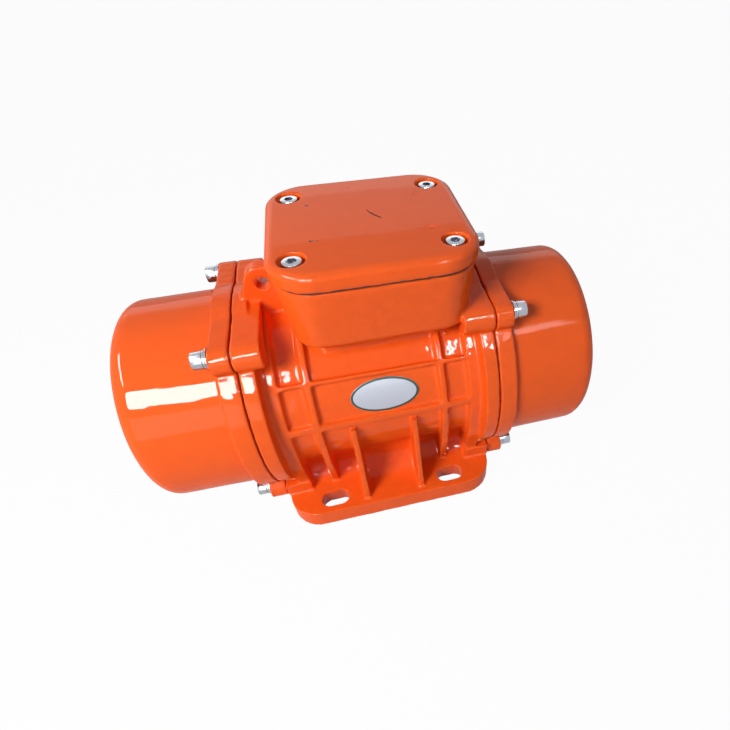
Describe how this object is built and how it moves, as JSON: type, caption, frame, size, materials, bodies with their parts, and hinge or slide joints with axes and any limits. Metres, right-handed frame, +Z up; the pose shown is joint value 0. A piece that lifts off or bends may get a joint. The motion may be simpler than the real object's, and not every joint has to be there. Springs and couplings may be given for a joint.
{
  "type": "external vibration motor",
  "caption": "External vibration motor with a cast housing on a slotted foot, eccentric weights under deep end covers and a terminal box on top.",
  "frame": {"origin": "centre of the foot's underside, under the middle of the shaft", "axes": "+X along the shaft towards the cover on the viewer's right, +Y to the back, where the cable gland is, +Z up"},
  "size_m": [0.2344, 0.1244, 0.1524],
  "materials": {
    "painted_casting": "glossy orange enamel over a slightly uneven casting",
    "gasket_rubber": "matte black rubber",
    "plated_screws": "zinc-plated, satin",
    "label_metal": "satin printed metal, left blank",
    "electrical_steel": "stacked laminations, varnished",
    "winding_copper": "enamelled copper wire",
    "machined_steel": "turned and ground steel",
    "cage_aluminium": "die-cast aluminium",
    "moulded_plastic": "moulded thermoset, matte",
    "terminal_brass": "bright brass",
    "gland_plastic": "black polyamide, matte",
    "shield_iron": "cast iron, machined on the seats",
    "bearing_steel": "ground and polished bearing steel"
  },
  "bodies": {
    "motor_housing": {"stator_housing": "painted_casting", "terminal_lid": "painted_casting", "lid_gasket": "gasket_rubber", "lid_screws": "plated_screws", "rating_label": "label_metal", "stator_core": "electrical_steel", "stator_winding": "winding_copper", "terminal_block": "moulded_plastic", "terminal_studs": "terminal_brass", "terminal_nuts": "terminal_brass", "block_screws": "plated_screws", "earth_screw": "terminal_brass", "gland_body": "gland_plastic", "gland_seal": "gasket_rubber", "gland_nut": "gland_plastic", "left_weight_cover": "painted_casting", "left_cover_seal": "gasket_rubber", "left_cover_washers": "plated_screws", "left_lock_washers": "plated_screws", "left_cover_screws": "plated_screws", "left_bearing_shield": "shield_iron", "left_shield_screws": "plated_screws", "left_cap_screws": "plated_screws", "left_bearing_cap": "machined_steel", "left_bearing_outer_ring": "bearing_steel", "right_weight_cover": "painted_casting", "right_cover_seal": "gasket_rubber", "right_cover_washers": "plated_screws", "right_lock_washers": "plated_screws", "right_cover_screws": "plated_screws", "right_bearing_shield": "shield_iron", "right_shield_screws": "plated_screws", "right_cap_screws": "plated_screws", "right_bearing_cap": "machined_steel", "right_bearing_outer_ring": "bearing_steel"},
    "rotor": {"shaft": "machined_steel", "rotor_core": "electrical_steel", "rotor_cage": "cage_aluminium", "left_bearing_inner_ring": "bearing_steel", "left_shaft_sleeve": "machined_steel", "left_fixed_weight": "machined_steel", "left_weight_key": "machined_steel", "left_setting_disc": "cage_aluminium", "left_retaining_ring": "machined_steel", "right_bearing_inner_ring": "bearing_steel", "right_shaft_sleeve": "machined_steel", "right_fixed_weight": "machined_steel", "right_weight_key": "machined_steel", "right_setting_disc": "cage_aluminium", "right_retaining_ring": "machined_steel"},
    "left_ball_set": {"left_bearing_balls": "bearing_steel", "left_bearing_cage": "moulded_plastic"},
    "left_outer_weight": {"left_adjustable_weight": "machined_steel", "left_clamp_bolt": "plated_screws"},
    "right_ball_set": {"right_bearing_balls": "bearing_steel", "right_bearing_cage": "moulded_plastic"},
    "right_outer_weight": {"right_adjustable_weight": "machined_steel", "right_clamp_bolt": "plated_screws"}
  },
  "joints": [
    {"name": "rotor_spin", "type": "hinge", "parent": "motor_housing", "child": "rotor", "pos_m": [0, 0, 0.063], "axis": [1, 0, 0], "continuous": true},
    {"name": "left_balls_roll", "type": "hinge", "parent": "motor_housing", "child": "left_ball_set", "pos_m": [-0.05, 0, 0.063], "axis": [1, 0, 0], "continuous": true},
    {"name": "left_weight_setting", "type": "hinge", "parent": "rotor", "child": "left_outer_weight", "pos_m": [-0.094, 0, 0.063], "axis": [1, 0, 0], "range_deg": [0, 180]},
    {"name": "right_balls_roll", "type": "hinge", "parent": "motor_housing", "child": "right_ball_set", "pos_m": [0.05, 0, 0.063], "axis": [1, 0, 0], "continuous": true},
    {"name": "right_weight_setting", "type": "hinge", "parent": "rotor", "child": "right_outer_weight", "pos_m": [0.094, 0, 0.063], "axis": [1, 0, 0], "range_deg": [0, 180]}
  ],
  "couplings": [
    {"joint": "left_balls_roll", "follows": "rotor_spin", "ratio": 0.384},
    {"joint": "right_balls_roll", "follows": "rotor_spin", "ratio": 0.384}
  ]
}
